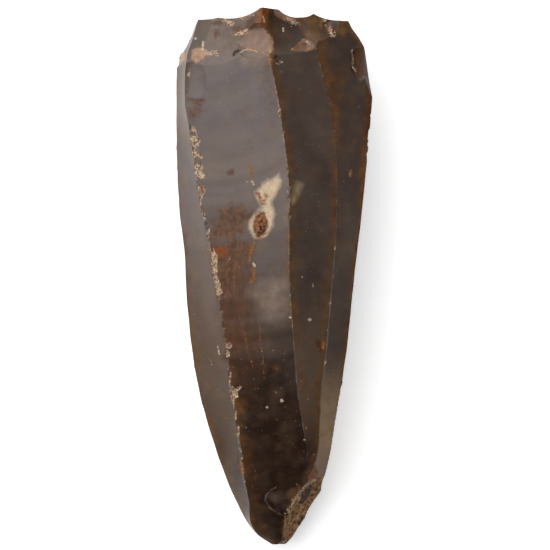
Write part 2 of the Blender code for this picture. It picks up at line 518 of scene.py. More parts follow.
@dataclass(frozen=True)
class Hollow:
    """The ellipsoid that a flake leaves, by its deepest point and its axes.

    The waves of its own blow ring a place crown of its length above its middle. Each is wave
    millimetres long, and wave_share of its length more. They swell and fall over beat, in
    millimetres, and stand up to ripple of its length high.
    """

    deepest: Array
    axes: Array
    flake: Flake
    wave: float = 0.9
    wave_share: float = 1 / 12
    beat: float = 5.3
    ripple: float = 0.00045
    crown: float = 0.6

    @property
    def radii(self) -> Array:
        """The ellipsoid's three radii.

        Returns:
            Them across, along and out of the scar, in metres.
        """
        reach = self.flake.reach
        spread = math.sqrt(1 - (1 - 1 / reach) ** 2)
        half_width, half_length = self.flake.width / 2 / spread, self.flake.length / 2 / spread
        return np.array([half_width, half_length, reach * self.flake.depth]) * MM

    @property
    def centre(self) -> Array:
        """The ellipsoid's centre, above its scar."""
        return self.deepest + self.axes[:, 2] * self.flake.reach * self.flake.depth * MM

    def meets(self, start: Array, ray: Array) -> tuple[Array, Array]:
        """Where lines that leave the stone enter the ellipsoid.

        Args:
            start: The lines' starting points, inside the stone.
            ray: The whole of each line, as a vector.

        Returns:
            The share of each line that is inside the stone, 2 where it misses, and which way
            the scar faces there.
        """
        own = self.axes.T / self.radii[:, None]
        o = (start - self.centre) @ own.T
        d = ray @ own.T
        a = np.einsum("ij,ij->i", d, d)
        b = np.einsum("ij,ij->i", o, d)
        c = np.einsum("ij,ij->i", o, o) - 1
        inside = b * b - a * c
        t = (-b - np.sqrt(np.maximum(inside, 0))) / a
        t = np.where((inside > 0) & (c > 0) & (t > 0), t, 2.0)
        return t, -unit((o + d * t[:, None]) @ own)

    def ripples(self, points: Array) -> Array:
        """Finds how far the ripples of this flake's blow stand out of its scar.

        Args:
            points: Points of the scar.

        Returns:
            The height at each.
        """
        own, length = (points - self.deepest) @ self.axes / MM, self.flake.length
        run = np.hypot(length * self.crown - own[:, 1], own[:, 0])
        waves = np.sin(run * math.tau / (self.wave + length * self.wave_share))
        return waves * np.sin(run / self.beat) ** 2 * self.ripple * length * MM


@dataclass
class Knapping:
    """Every short flake that is struck off the blank, in the order of its regions."""

    blank: Blank
    platform_at: float = 0.5305
    platform_lean: float = 11.0
    platform: tuple[Flake, ...] = (
        Flake(0, 8, 124, 96, 4),
        Flake(-17.6, 20, 22, 28, 5, roll=-2, reach=1),
        Flake(-9.7, 22, 15.2, 20, 5.3, reach=0.7),
        Flake(5.6, 22, 14.2, 28, 5.3, reach=1.5),
        Flake(16.5, 17, 19.6, 28, 5.2, roll=2, reach=1),
        Flake(11, -4, 36, 36, 6.8, lean=-10, roll=4),
        Flake(-10, -5, 36, 33, 7.2, lean=-12, roll=-8),
    )
    rim: tuple[Flake, ...] = (
        Flake(1.3, 0.965, 23, 27, 2.4, lean=7),
        Flake(1.8, 0.99, 18, 16.5, 2, lean=12),
        Flake(1.84, 0.938, 12.8, 9.4, 1.8, lean=7, reach=STEPPED),
        Flake(2.45, 0.965, 21, 19, 2, lean=6),
        Flake(3.15, 0.985, 16.5, 19, 2, lean=12),
        Flake(3.95, 0.885, 9.6, 15, 0.8),
    )
    tip: tuple[Flake, ...] = (
        Flake(3.715, 0.078, 17.8, 30.8, 2.1, -10, -1.4, -1.4, patina=Patina.RIND),
        Flake(1.86, 0.086, 8.5, 10.4, 0.6, lean=-4),
        Flake(4.8, 0.12, 12.4, 22, 1.3),
        Flake(2.6, 0, 2.2, 2.2, 1, lean=-86),
    )
    back: tuple[Flake, ...] = (
        Flake(-0.42, 0.36, 18, 47, 2.8, roll=-8),
        Flake(-0.4, 0.72, 19, 55, 3.6, roll=-6),
        Flake(-0.7, 0.54, 22, 49, 3.6, roll=-8),
        Flake(-0.6, 0.93, 27, 41, 4.4, roll=-4),
        Flake(4.4, 0.3, 18, 49, 3.2, roll=4),
        Flake(4.7, 0.56, 23, 60, 4.4, roll=10),
        Flake(4.5, 0.86, 23, 47, 4, roll=4),
        Flake(5.6, 0.955, 60, 49, 6, lean=6),
        Flake(5.3, 0.3, 47, 36, 2),
    )
    trimming: tuple[Flake, ...] = (
        Flake(-19.4, 128, 4.7, 4.9, 0.9, reach=STEPPED),
        Flake(-20.9, 121.4, 6.3, 11.7, 0.7),
        Flake(7.3, 130.3, 6.2, 3.5, 1, lean=8, reach=STEPPED),
        Flake(11.3, 135.6, 11.5, 7.7, 1, lean=10),
        Flake(14.2, 135.8, 3.3, 4.9, 1.6, lean=14),
        Flake(22.4, 125.6, 5.1, 8.6, 0.6, roll=-9, reach=STEPPED),
        Flake(0.6, 127.1, 1.6, 1.4, 0.6),
        Flake(1.4, 126.2, 1.8, 1.5, 0.5),
    )
    nicks: tuple[Flake, ...] = (
        Flake(-18.7, 92.9, 2.3, 2.8, 0.25, patina=Patina.PALE),
        Flake(-15.4, 70.6, 1.2, 4.6, 0.5, heading=14, patina=Patina.CHALKY),
        Flake(-14.9, 67.6, 1, 2.6, 0.4, heading=-20, patina=Patina.CHALKY),
        Flake(-14, 66.7, 1.4, 1.7, 0.3, heading=30, patina=Patina.PALE),
        Flake(-11.7, 52.6, 1.7, 2, 0.3, heading=30, patina=Patina.PALE),
        Flake(-12, 50.4, 0.9, 2.2, 0.4, heading=8, patina=Patina.CHALKY),
        Flake(-11.6, 45.6, 0.6, 3, 0.4, heading=6, patina=Patina.CHALKY),
        Flake(-10.4, 40.2, 1.9, 3.4, 0.6, heading=22, patina=Patina.CHALKY),
        Flake(-9.3, 41.4, 0.9, 2.4, 0.3, heading=-50, patina=Patina.CHALKY),
        Flake(-10.8, 38.6, 0.9, 2.8, 0.5, heading=4, patina=Patina.CHALKY),
        Flake(-9.4, 30.2, 0.9, 1.7, 0.3, heading=10, patina=Patina.PALE),
    )
    crushed: tuple[Crushing, ...] = (
        Crushing(1.03, 0.69, 0.775, 70, (0.4, 1.3), (0.15, 0.5), 0.04, 0.3, (0.8, 3), 40),
        Crushing(1.01, 0.6, 0.69, 12, (0.3, 0.9), (0.15, 0.4), 0.015, 0.3, (1, 4), 20),
        Crushing(1.01, 0.555, 0.6, 14, (0.4, 1.1), (0.2, 0.5), 0.02, 0.3, (1, 4), 20),
        Crushing(1.015, 0.475, 0.55, 34, (0.4, 1.4), (0.2, 0.5), 0.02, 0.35, (1.5, 5), 15),
        Crushing(1.005, 0.37, 0.475, 8, (0.3, 0.7), (0.1, 0.3), 0.01, 0.7, (1, 5), 20),
        Crushing(1.005, 0.12, 0.37, 28, (0.3, 0.8), (0.1, 0.35), 0.01, 0.4, (1, 5), 20),
        Crushing(2, 0.6, 0.84, 18, (0.3, 0.8), (0.1, 0.3), 0.012, 0.5, (1, 4), 20),
        Crushing(3, 0.25, 0.85, 18, (0.3, 0.7), (0.1, 0.25), 0.015, 0.7, (1, 4), 20),
        Crushing(4, 0.7, 0.86, 16, (0.4, 1), (0.08, 0.16), patina=Patina.RUSTY),
        Crushing(0.03, 0.9, 0.95, 8, (0.8, 2.6), (0.3, 0.8), bare=0.4, patina=Patina.PALE),
    )

    def on_platform(self, flake: Flake) -> Hollow:
        """Places a flake on the platform end.

        Args:
            flake: The flake, with its place to the right and up as seen from that end.

        Returns:
            Its hollow.
        """
        blank = self.blank
        base = turn(-90 - self.platform_lean, "X")
        end = blank.low[1] + (0.5 + self.platform_at) * blank.length
        top = np.array([blank.middle_line, end, blank.high[2]])
        down = blank.height - flake.along * MM
        axes = base @ turn(flake.lean, "X") @ turn(flake.roll, "Y")
        deepest = top + base @ np.array([flake.around * MM, down, 0.0])
        return Hollow(deepest - axes[:, 2] * flake.depth * MM, axes, flake)

    def on_blank(self, flake: Flake) -> Hollow:
        """Places a flake on the knapped face, a flank or the back.

        Args:
            flake: The flake, with its place around the arrises and along the stone.

        Returns:
            Its hollow.
        """
        axes = self.blank.axes(flake.around, flake.along)
        axes = axes @ turn(flake.roll, "Y") @ turn(-flake.lean, "X") @ turn(flake.heading, "Z")
        spot = self.blank.spot(flake.around, flake.along)
        return Hollow(spot - axes[:, 2] * flake.depth * MM, axes, flake)

    def on_face(self, flake: Flake) -> Hollow:
        """The hollow of a small flake whose place is seen from above."""
        around, along = self.blank.locate(flake.around, flake.along)
        return self.on_blank(replace(flake, around=around, along=along))

    def hollows(self) -> list[Hollow]:
        """Places every flake.

        Returns:
            Their hollows.
        """
        made = [self.on_platform(flake) for flake in self.platform]
        made += [self.on_blank(flake) for flake in self.rim + self.tip + self.back]
        made += [self.on_face(flake) for flake in self.trimming + self.nicks]
        for seed, run in enumerate(self.crushed):
            made += [self.on_blank(flake) for flake in run.flakes(seed)]
        return made


@dataclass
class Net:
    """The lines that are cast from the stone's axis, and the mesh that they give.

    The lines fan out at both ends, from the places near and far along the axis. rows lists
    where rows of lines start and end, as shares of the length, and how many millimetres they
    stand apart. platform_rows and tip_rows are the rings that close the ends.
    """

    blank: Blank
    near: float = 0.1
    far: float = 0.8
    rows: tuple[tuple[float, float, float], ...] = (
        (0, 0.13, 0.3), (0.13, 0.86, 0.37), (0.86, 1.06, 0.26),
    )
    platform_rows: int = 40
    tip_rows: int = 5

    @property
    def scar(self) -> Array:
        """The number of the scar that each column of lines passes through."""
        return np.concatenate([np.full(a.strips, k) for k, a in enumerate(self.blank.arrises)])

    @property
    def across(self) -> Array:
        """How far across its scar each column is, from 0 to 1."""
        strips = [a.strips for a in self.blank.arrises]
        return np.concatenate([(np.arange(count) + 0.5) / count for count in strips])

    @property
    def shares(self) -> Array:
        """The share of the length that each row between the caps is at."""
        step_share = MM / self.blank.length
        return np.concatenate([np.arange(a, b, step * step_share) for a, b, step in self.rows])

    def lines(self) -> tuple[Array, Array, Array, Array]:
        """Casts the net.

        Returns:
            The starts and the ends of the lines, as rows by columns by x, y and z, which way
            the blank faces at each end, and how far ripples stand out of it.
        """
        share, where = self.shares, (self.scar, self.across)
        side, facing = self.blank.surface(*where, share), self.blank.normals(*where, share)
        starts = self.blank.middle(np.clip(share, self.near, self.far))
        starts = np.broadcast_to(starts[:, None], side.shape)
        tip, top = self.cap(side[0], self.tip_rows)[::-1], self.cap(side[-1], self.platform_rows)
        first, last = (np.broadcast_to(starts[k], cap.shape) for k, cap in ((0, tip), (-1, top)))
        down, outwards = (
            np.broadcast_to([0.0, way, 0.0], cap.shape) for way, cap in ((-1.0, tip), (1.0, top))
        )
        waves = self.blank.ripples(*where, share)
        waves = np.pad(waves, ((len(tip), len(top)), (0, 0)))
        return (
            np.concatenate([first, starts, last]),
            np.concatenate([tip, side, top]),
            np.concatenate([down, facing, outwards]),
            waves,
        )

    @staticmethod
    def cap(ring: Array, rows: int) -> Array:
        """Closes an end.

        Args:
            ring: The ring of points to close.
            rows: How many rings close it.

        Returns:
            The rings, from this one to near its middle.
        """
        middle = ring.mean(axis=0)
        inwards = 1 - (np.arange(rows) + 1) / (rows + 0.5)
        return middle + (ring - middle) * inwards[:, None, None]


@dataclass(frozen=True)
class Mark:
    """A stain or an inclusion of the knapped face: an area, or a line of this width.

    Its corners are seen from above, in millimetres to the right of the middle line and up
    from the tip.
    """

    corners: tuple[tuple[float, float], ...]
    width: float = 0.0

    def reach(self, points: Array) -> Array:
        """Measures how far points are outside it.

        Args:
            points: The points, as rows of right and up, in millimetres.

        Returns:
            The distances in millimetres, which are below 0 inside it.
        """
        corners = np.array(self.corners, float)
        closed = self.width == 0
        following = np.roll(corners, -1, 0)
        if not closed:
            following[-1] = corners[-1]
        nearest = np.full(len(points), np.inf)
        inside = np.zeros(len(points), bool)
        for a, b in zip(corners, following):
            run = b - a
            t = np.clip((points - a) @ run / max(run @ run, TINY), 0, 1)
            nearest = np.minimum(nearest, np.linalg.norm(points - a - t[:, None] * run, axis=1))
            if closed and a[1] != b[1]:
                beside = (a[1] > points[:, 1]) != (b[1] > points[:, 1])
                crossing = a[0] + (points[:, 1] - a[1]) * run[0] / run[1]
                inside ^= beside & (points[:, 0] < crossing)
        return np.where(inside, -nearest, nearest) - self.width / 2


Marks = tuple[Mark, ...]


def patch(*corners: tuple[float, float]) -> Mark:
    """An area with these corners."""
    return Mark(corners)


def stroke(width: float, *corners: tuple[float, float]) -> Mark:
    """A line of this width through these corners, or a dot at one."""
    return Mark(corners, width)


@dataclass(frozen=True)
class Band:
    """A strip beside an arris, with its width in millimetres.

    side is -1 to the left of the arris, 1 to its right, and 0 on both sides.
    """

    arris: int
    side: int
    width: Curve
    strength: Curve


@dataclass(frozen=True)
class Wash:
    """A colour all over one long scar, as strong as this along it."""

    scar: int
    strength: Curve


@dataclass
class Colouring:
    """Where the stone's colours lie: its clouds, thin edges, stains and inclusions.

    Every tuple is a field of its own name, and limit is how far a field reaches out of its
    marks, in millimetres.
    """

    blank: Blank
    limit: float = 6.0
    # Milky clouds inside the stone.
    smoke: tuple[Wash, ...] = (
        Wash(0, ((0.15, 0), (0.31, 0.35), (0.46, 0.6), (0.6, 0.95), (0.76, 0.9), (0.84, 0.55), (1, 0.3))),
        Wash(1, (
            (0.35, 0), (0.4, 0.1), (0.46, 0.3), (0.55, 0.5), (0.64, 0.8), (0.72, 1), (0.9, 1), (0.95, 0.7),
        )),
    )
    ash: tuple[Wash, ...] = (
        Wash(2, (
            (0.16, 0), (0.21, 0.22), (0.27, 0.33), (0.36, 0.45), (0.46, 0.65), (0.55, 0.8), (0.91, 0.75),
            (0.935, 0.3), (1, 0.2),
        )),
        Wash(3, ((0.25, 0.75), (0.5, 0.85), (0.75, 0.7), (0.85, 0.5), (1, 0.4))),
        Wash(4, all_along(0.4)),
        Wash(5, all_along(0.4)),
        Wash(6, all_along(0.4)),
    )
    # Beige haze in the stone. On the first scar near the platform it is also a painted highlight of the
    # bulb.
    haze: tuple[Wash, ...] = (
        Wash(0, (
            (0, 0.1), (0.14, 0.15), (0.18, 0.25), (0.28, 0.32), (0.46, 0.28), (0.62, 0.1), (0.74, 0.1),
            (0.8, 0.35), (0.88, 0.2),
        )),
        Wash(1, ((0.34, 0), (0.42, 0.18), (0.55, 0.1), (0.7, 0.2), (0.8, 0), (0.88, 0), (0.94, 0.35))),
        Wash(2, ((0.15, 0), (0.27, 0.4), (0.36, 0.35), (0.5, 0))),
        Wash(3, ((0, 0.2), (0.12, 0.6), (0.19, 1), (0.27, 0.75), (0.33, 0.2), (0.38, 0))),
    )
    honey: tuple[Wash, ...] = (
        Wash(3, ((0.1, 0), (0.15, 0.2), (0.19, 0.8), (0.27, 0.5), (0.34, 0))),
    )
    # Beside the arrises: thin edges, worn ones, and a painted sheen, a highlight, on smooth ones.
    thin: tuple[Band, ...] = (
        Band(2, 1, ((0, 3), (0.5, 2.4), (1, 1.4)), ((0.15, 0), (0.3, 0.6), (0.9, 0.7))),
        Band(2, -1, all_along(1.4), ((0.46, 0), (0.51, 0.5), (0.58, 0.5), (0.64, 0))),
        Band(3, 1, ((0, 1), (0.7, 1.2), (0.9, 4)), ((0.7, 0), (0.8, 0.8), (1, 0.7))),
        Band(3, -1, ((0, 1.8), (1, 1.4)), ((0.1, 0.7), (0.7, 0.55), (0.85, 0))),
        Band(1, 1, ((0, 3.2), (0.4, 3.4), (1, 2)), ((0.1, 0.45), (0.4, 0.9), (0.48, 0.1))),
        Band(0, 1, ((0, 1.6), (1, 0.7)), ((0, 0.6), (0.5, 0.6), (0.8, 0.25))),
        Band(4, -1, ((0.6, 0.8), (0.76, 2.2), (0.86, 1)), ((0.1, 0.6), (0.7, 1), (0.9, 0.9))),
    )
    worn: tuple[Band, ...] = (
        Band(1, 0, all_along(0.3), (
            (0.02, 0.2), (0.2, 0.6), (0.36, 0.6), (0.4, 0.3), (0.46, 0.4), (0.5, 0.8), (0.8, 0.6),
            (0.9, 0),
        )),
        Band(2, 0, all_along(0.26), ((0.3, 0), (0.42, 0.55), (0.62, 0.55), (0.84, 0.7), (0.9, 0.2))),
        Band(3, 0, all_along(0.18), ((0.12, 0.45), (0.7, 0.4), (0.93, 0.5), (0.96, 0))),
    )
    # A painted sheen: bluish-grey highlights beside the smooth arrises.
    sheen: tuple[Band, ...] = (
        Band(1, -1, ((0, 1), (0.2, 0.5), (1, 0.4)), ((0.06, 0), (0.1, 0.6), (0.22, 0.6), (0.4, 0))),
        Band(3, 0, all_along(0.25), ((0.17, 0), (0.22, 0.6), (0.46, 0.85), (0.56, 0.6), (0.64, 0))),
        Band(2, 0, all_along(0.25), ((0.16, 0), (0.2, 0.6), (0.46, 0.6), (0.5, 0))),
    )
    # Brown depths and grey veils of the middle scars.
    brew: Marks = (
        patch((-12.4, 49.4), (-8.2, 50.4), (-4, 50.2), (-3.2, 45), (-5.4, 41.4), (-9.6, 41.4), (-10.6, 46)),
    )
    earth: Marks = (
        patch(
            (-14.4, 70), (-11, 78), (-7.2, 77.6), (-5.6, 70.4), (-5.4, 62), (-4.8, 56), (-4.4, 52.4),
            (-5.4, 49.6), (-12.4, 49.6), (-13.2, 58),
        ),
    )
    # Darker brown over the trimmed area under the rim, and along the crest below it.
    dusk: Marks = (
        patch((-13.6, 137), (-4, 137), (-4, 128.4), (-9, 128.8), (-13.6, 128)),
        patch((-4.4, 128), (-0.6, 127), (0.4, 116), (-0.4, 110), (-2.6, 118)),
    )
    cloud: Marks = (
        patch((-6.6, 67.6), (-1, 70.4), (3.4, 69), (3.4, 62), (0.6, 59.6), (-2.4, 60), (-5.4, 63.6)),
        stroke(0.1, (0.2, 12.4), (2.2, 10.4)), stroke(1.6, (-7.4, 127.4), (-3.4, 126.8)),
    )
    tea: Marks = (
        patch(
            (-15.9, 84.6), (-13.6, 87.4), (-10.4, 89), (-6.2, 88.6), (-5, 86), (-7.2, 84), (-8.2, 81.6),
            (-12, 79.6), (-16.4, 80.4),
        ),
        patch(
            (-16.8, 78.4), (-12.3, 79.4), (-4.4, 79.8), (-4.6, 76.6), (-8.4, 75.2), (-10, 70.4),
            (-10.6, 66), (-13.6, 64.6), (-16.2, 73.8),
        ),
        patch((-22, 115.4), (-19.6, 115.4), (-19.4, 113.1), (-20.9, 111.7)),
    )
    # Stains and pale facets of the rim, the tip and the right edge, with painted glow where they are thin.
    umber: Marks = (
        patch((-7.6, 135.6), (-4.8, 139), (-4, 138), (-4.4, 135.6), (-5.6, 134.9), (-7.2, 134.5)),
        patch((-10.5, 135.3), (-8.4, 135.4), (-7.4, 134.6), (-8.4, 133.4), (-10.3, 133.6)),
        patch((-15.9, 134.3), (-14.6, 134.6), (-14.1, 133.2), (-15.5, 132.6)),
        stroke(1, (-21.8, 116.4), (-18.6, 116.1)), stroke(1, (-15.6, 136.3), (-12.4, 136.9)),
        stroke(1.6, (-11.2, 97.4)), stroke(1.4, (-9.2, 83.7)), stroke(0.8, (11.4, 53.4), (12.2, 51.8)),
        patch((7.8, 17.2), (9.5, 19.8), (10.9, 21), (11.6, 18.8), (10.9, 16.8), (9.7, 16.6)),
        stroke(1.6, (13.5, 137), (14.9, 134.5)),
        patch(
            (20.3, 129.6), (22.6, 129.4), (26, 127.2), (26, 122.4), (23, 122.3), (21.5, 123.5),
            (20.7, 125.1),
        ),
        stroke(1.6, (24.6, 120), (25, 114), (24.4, 107)),
    )
    amber: Marks = (
        patch(
            (-4.4, 135.8), (-4.2, 138.2), (-3.6, 141), (-0.6, 141), (-1.4, 138.7), (-2.2, 135.2),
            (-3.4, 134.9),
        ),
        stroke(0.6, (-19.8, 138), (-17.6, 137.6)), stroke(0.5, (2.3, 3.2), (2.8, 6.6)),
    )
    # Painted glow: thin places of the rim and the tip drawn lighter, as if lit through.
    glow: Marks = (
        patch(
            (7.6, 137.4), (8.6, 139.2), (12.6, 138.6), (13.9, 136.1), (14.9, 133.5), (13.7, 133.8),
            (12, 135.5), (10, 136.6),
        ),
        patch((15.7, 138.2), (19.4, 138), (20.4, 135), (17.8, 132.8), (16.2, 134.2)),
        patch((3.4, 14.1), (6.5, 16), (7.4, 14.6), (5.8, 11.5), (4.4, 11.3), (3.4, 12.6)),
    )
    tan: Marks = (
        patch((-0.6, 141), (2.1, 140.6), (6.3, 138.4), (5.4, 136.2), (2.9, 136.6), (0.2, 138.2)),
        patch((4.5, 129.1), (7.8, 132.1), (9.7, 131.7), (10.7, 129.5), (9.3, 128.9)),
    )
    ochre: Marks = (
        # The first stroke is a painted highlight on the lit edge of the ledge. The rest are iron, but for
        # one painted glint.
        stroke(0.5, (-7.6, 129.2), (-6, 129.3), (-3.1, 128.4), (-0.8, 127.3)),
        stroke(0.8, (-1, 127.2), (-0.8, 125.4)), stroke(0.3, (-0.5, 128.6), (-0.3, 131.9), (-2.1, 134.2)),
        stroke(0.6, (13.3, 136.6), (14.4, 135), (15.4, 133.2)), stroke(0.4, (4.4, 129.2), (7.8, 132.1)),
        stroke(0.5, (10.3, 16.6), (8.9, 15.6), (7.6, 14.2), (6, 11.5), (5, 10.2)),
        stroke(0.2, (9.9, 20), (10.7, 19.6), (11.2, 18)), stroke(0.5, (2.9, 7.8), (3.2, 4.2)),
        stroke(0.6, (12.9, 53.4), (12.7, 51.9)), stroke(0.6, (20, 98), (19.8, 96.6)),
        # A painted orange glint on a chip of the left arris.
        stroke(0.5, (-8.6, 22.2), (-7.9, 19.4)),
    )
    pale: Marks = (
        patch(
            (-8, 134.1), (-2.8, 134.8), (-0.6, 132.2), (-0.1, 128.9), (-1.4, 128.4), (-5, 129.3),
            (-7.4, 129.5), (-9.6, 131.2), (-8, 132.4),
        ),
        stroke(0.7, (-22, 124), (-22.2, 122.5)), stroke(0.8, (0.5, 139.4), (4.2, 137.6)),
    )
    peach: Marks = (
        patch(
            (-21.4, 129.3), (-19.7, 130), (-17.3, 129.3), (-17.4, 128.2), (-18.6, 127.1), (-20.6, 125.7),
            (-21.3, 127.1),
        ),
        patch((-24.5, 128.5), (-23.6, 129.6), (-23.2, 127), (-24.6, 125.6)),
        stroke(0.4, (-1.6, 133), (-0.6, 130.6), (-0.9, 128.6)),
    )
    # The chalky inclusion, its pit and the ghost of another.
    ghost: Marks = (
        patch((6, 94.8), (7.2, 94.2), (6.2, 91.6), (4.9, 89.4), (4.7, 91)),
    )
    chalk: Marks = (
        patch(
            (1.2, 96.9), (2, 95.1), (0.8, 91.8), (-0.6, 89.9), (-0.3, 88.6), (0.3, 86.6), (-0.3, 83.7),
            (-1.4, 81.7), (-2.8, 80.6), (-5, 80.6), (-6.7, 83), (-6.1, 85.2), (-4.3, 87.4), (-3.2, 88.5),
            (-4.7, 91.1), (-4.7, 92.5), (-2.8, 94.7),
        ),
    )
    crust: Marks = (
        patch(
            (-3.9, 87.1), (-2.4, 86.9), (-1.4, 84.3), (-2.1, 81.4), (-3.9, 80.3), (-5.1, 81.9),
            (-5.3, 84.5),
        ),
    )
    # Iron in the cracks, then chalk and soil that cling to the stone.
    rust: Marks = (
        patch((-16.6, 78.2), (-13.6, 78.6), (-11.8, 77.9), (-12.3, 75.6), (-14.3, 75.2), (-15.9, 72.6)),
        stroke(0.9, (-4.2, 92), (-3.6, 90.4), (-2.8, 89.4)), stroke(0.6, (-2.8, 89.4), (-2, 91.6)),
        stroke(0.8, (-3.9, 139), (-3.4, 137.9), (-3.1, 136.3)), stroke(0.5, (13.9, 137), (14.9, 134.3)),
        stroke(1.2, (12.9, 53.6), (12.8, 52.1)),
        patch((8.6, 17.4), (9.5, 19.4), (10.7, 20.5), (11.3, 18.8), (10.9, 17), (9.7, 16.9)),
        stroke(1, (16.1, 109.4)), stroke(0.9, (19.8, 97.3)), stroke(0.6, (20.9, 105.7)),
        stroke(0.8, (-18.7, 92.7)), stroke(0.9, (-8.6, 20.9), (-8.2, 19.7)),
    )
    seep: Marks = (
        stroke(0.3, (-10.5, 75.1), (-10.4, 70.4), (-10.3, 65.9)),
        stroke(0.9, (-5, 79.4), (-6.2, 76.4), (-6.3, 74.2)),
        stroke(1.1, (-5.2, 72.6), (-5.2, 70.6), (-5.8, 69)),
        stroke(0.3, (-9.1, 60.2), (-7.9, 57.1), (-7.2, 53.6), (-6.9, 50.8), (-5.3, 46.9)),
        stroke(0.3, (-3.7, 60.6), (-3.7, 57.1), (-3.4, 53.6), (-2.9, 48.7), (-2.4, 44)),
        stroke(1.1, (-5.9, 98.9), (-5.8, 97.2)), stroke(0.5, (-5.9, 96.3), (-5.5, 94.7)),
        stroke(0.2, (-4.7, 99.7), (-2.9, 101.3)),
    )
    cream: Marks = (
        # The first stroke is a painted highlight on the lit edge of the ledge, and the next a painted
        # glint. The rest are specks of chalk.
        stroke(0.15, (-8.9, 128.4), (-7.6, 129.3), (-6, 129.2), (-4.2, 128.7)),
        stroke(0.6, (-18.4, 131.5), (-18.6, 129.9), (-18.5, 129.4)), stroke(0.25, (1, 126.6), (2.1, 125.9)),
        stroke(0.2, (0.6, 125.6), (1.2, 125.3)), stroke(0.6, (-20.5, 132.4)),
        stroke(0.5, (-22, 123.6), (-22.6, 121.8)), stroke(0.4, (2.4, 134.9), (2.4, 134.1)),
        stroke(0.4, (-2.8, 137.9), (-2.5, 136.4)), stroke(0.4, (14.4, 134.6), (15.4, 133)),
        stroke(0.5, (8.6, 131.3), (9.3, 130.6)), stroke(0.35, (20.3, 129.3), (20.5, 125.1), (21.3, 123.7)),
        stroke(0.9, (9.3, 59.3)), stroke(0.9, (2, 38.2)), stroke(0.6, (-1.8, 36.5)),
        stroke(0.4, (-0.2, 51.4)), stroke(0.5, (-5.7, 95.3), (-5.3, 94.3)),
        stroke(0.3, (-7, 95), (-6.8, 94.7)), stroke(0.5, (-5.3, 73.9), (-4.9, 73.2)),
        stroke(0.5, (7.3, 70.4)), stroke(0.3, (10.1, 68.8), (10.1, 68)), stroke(0.6, (4.2, 59.9)),
        stroke(0.5, (7.9, 28)), stroke(0.4, (8.4, 31.1)), stroke(0.3, (-14.7, 52.3), (-14.3, 50.2)),
        stroke(0.2, (-16.7, 48.9), (-16.2, 47.4)),
    )
    crumbs: Marks = (
        stroke(0.5, (-16.6, 137.8), (-12, 138), (-8, 137.9), (-5.6, 138.8)),
        stroke(1, (-12.8, 137.2), (-11.2, 136.2)), stroke(0.5, (-10.2, 133.4), (-7, 134.2)),
        stroke(0.6, (-17, 128.3), (-14.8, 128.5)), stroke(0.8, (3.6, 137.6), (5.8, 136.2)),
        stroke(0.8, (13.2, 137), (14.4, 135.4), (15.4, 133.4)), stroke(0.4, (-24.2, 129.4), (-21.8, 133.6)),
        stroke(0.5, (10.4, 16.9), (6.8, 14.2), (4.9, 11.2), (3.4, 8.6)),
    )
    # Painted highlights: light lines along the lips of the tip's shell scar, of the ledge under the rim and
    # of scars at the rim.
    lip: Marks = (
        stroke(0.35, (0.7, 15.5), (-0.9, 14.5), (-2, 13.4), (-2.3, 11.8), (-0.9, 9.7), (2.3, 7.8)),
        stroke(0.1, (-5, 17.8), (-3.4, 16.6)), stroke(0.25, (-11.1, 127.5), (-9.6, 128), (-7.6, 129.1)),
        stroke(0.1, (-18.9, 131.6), (-16.8, 135.4)),
        stroke(0.1, (-17.6, 123), (-17.3, 119.2), (-18.6, 117.6)),
    )
    # Painted shadows under the lip of the ledge and in chip hollows, and the dull grey core of a pit.
    cracks: Marks = (
        patch((-11, 127.8), (-10.2, 128.9), (-9.3, 129.6), (-8.6, 129.2), (-9.7, 128.4), (-10.5, 127.6)),
        stroke(0.8, (0.6, 127.1)), stroke(0.4, (-11.5, 52.2)),
    )
    slate: Marks = (
        patch((9.9, 16.4), (10.2, 14.9), (9.2, 13.1), (7.7, 10.7), (6.9, 11), (7.1, 13.1), (8.4, 15.2)),
        stroke(0.9, (-3.9, 81.6), (-2.5, 82.4), (-2.2, 84)),
    )

    def fields(self, points: Array, scar: Array, patinas: dict[str, Array]) -> dict[str, Array]:
        """Works out every field of the mesh that the finish reads.

        Args:
            points: The corners of the mesh.
            scar: The number of the long scar that each is on.
            patinas: How far each corner has each weathering.

        Returns:
            One value for each corner by the name of its field. Marks are in millimetres
            outside their edge, and the others run from 0 to 1.
        """
        share = (points[:, 1] - self.blank.low[1]) / self.blank.length
        corner = np.array([self.blank.middle_line, self.blank.low[1]])
        on_face = scar < RIGHT_EDGE
        plan = (points[on_face, :2] - corner) / MM
        made = dict(patinas)
        for name, value in vars(self).items():
            if not isinstance(value, tuple):
                continue
            if isinstance(value[0], Mark):
                made[name] = np.full(len(points), self.limit)
                reach = np.min([mark.reach(plan) for mark in value], axis=0)
                made[name][on_face] = np.minimum(self.limit, reach)
            elif isinstance(value[0], Band):
                made[name] = self.beside(value, points, scar, share)
            else:
                made[name] = sum((scar == w.scar) * level(w.strength, share) for w in value)
        return made

    def beside(self, bands: tuple[Band, ...], points: Array, scar: Array, share: Array) -> Array:
        """Works out a field that is made of bands.

        Args:
            bands: The bands.
            points: The corners of the mesh.
            scar: The number of the long scar that each is on.
            share: The share of the length that each is at.

        Returns:
            How strong the strongest band is at each corner, from 0 to 1.
        """
        corners = self.blank.corners(np.clip(share, 0, 1))
        made = np.zeros(len(points))
        for band in bands:
            away = (points[:, 0] - corners[:, band.arris, 0]) / MM
            sides = {-1: scar == band.arris - 1, 0: scar < RIGHT_EDGE, 1: scar == band.arris}
            fall = np.exp(-((away / level(band.width, share)) ** 2))
            made = np.maximum(made, sides[band.side] * fall * level(band.strength, share))
        return made


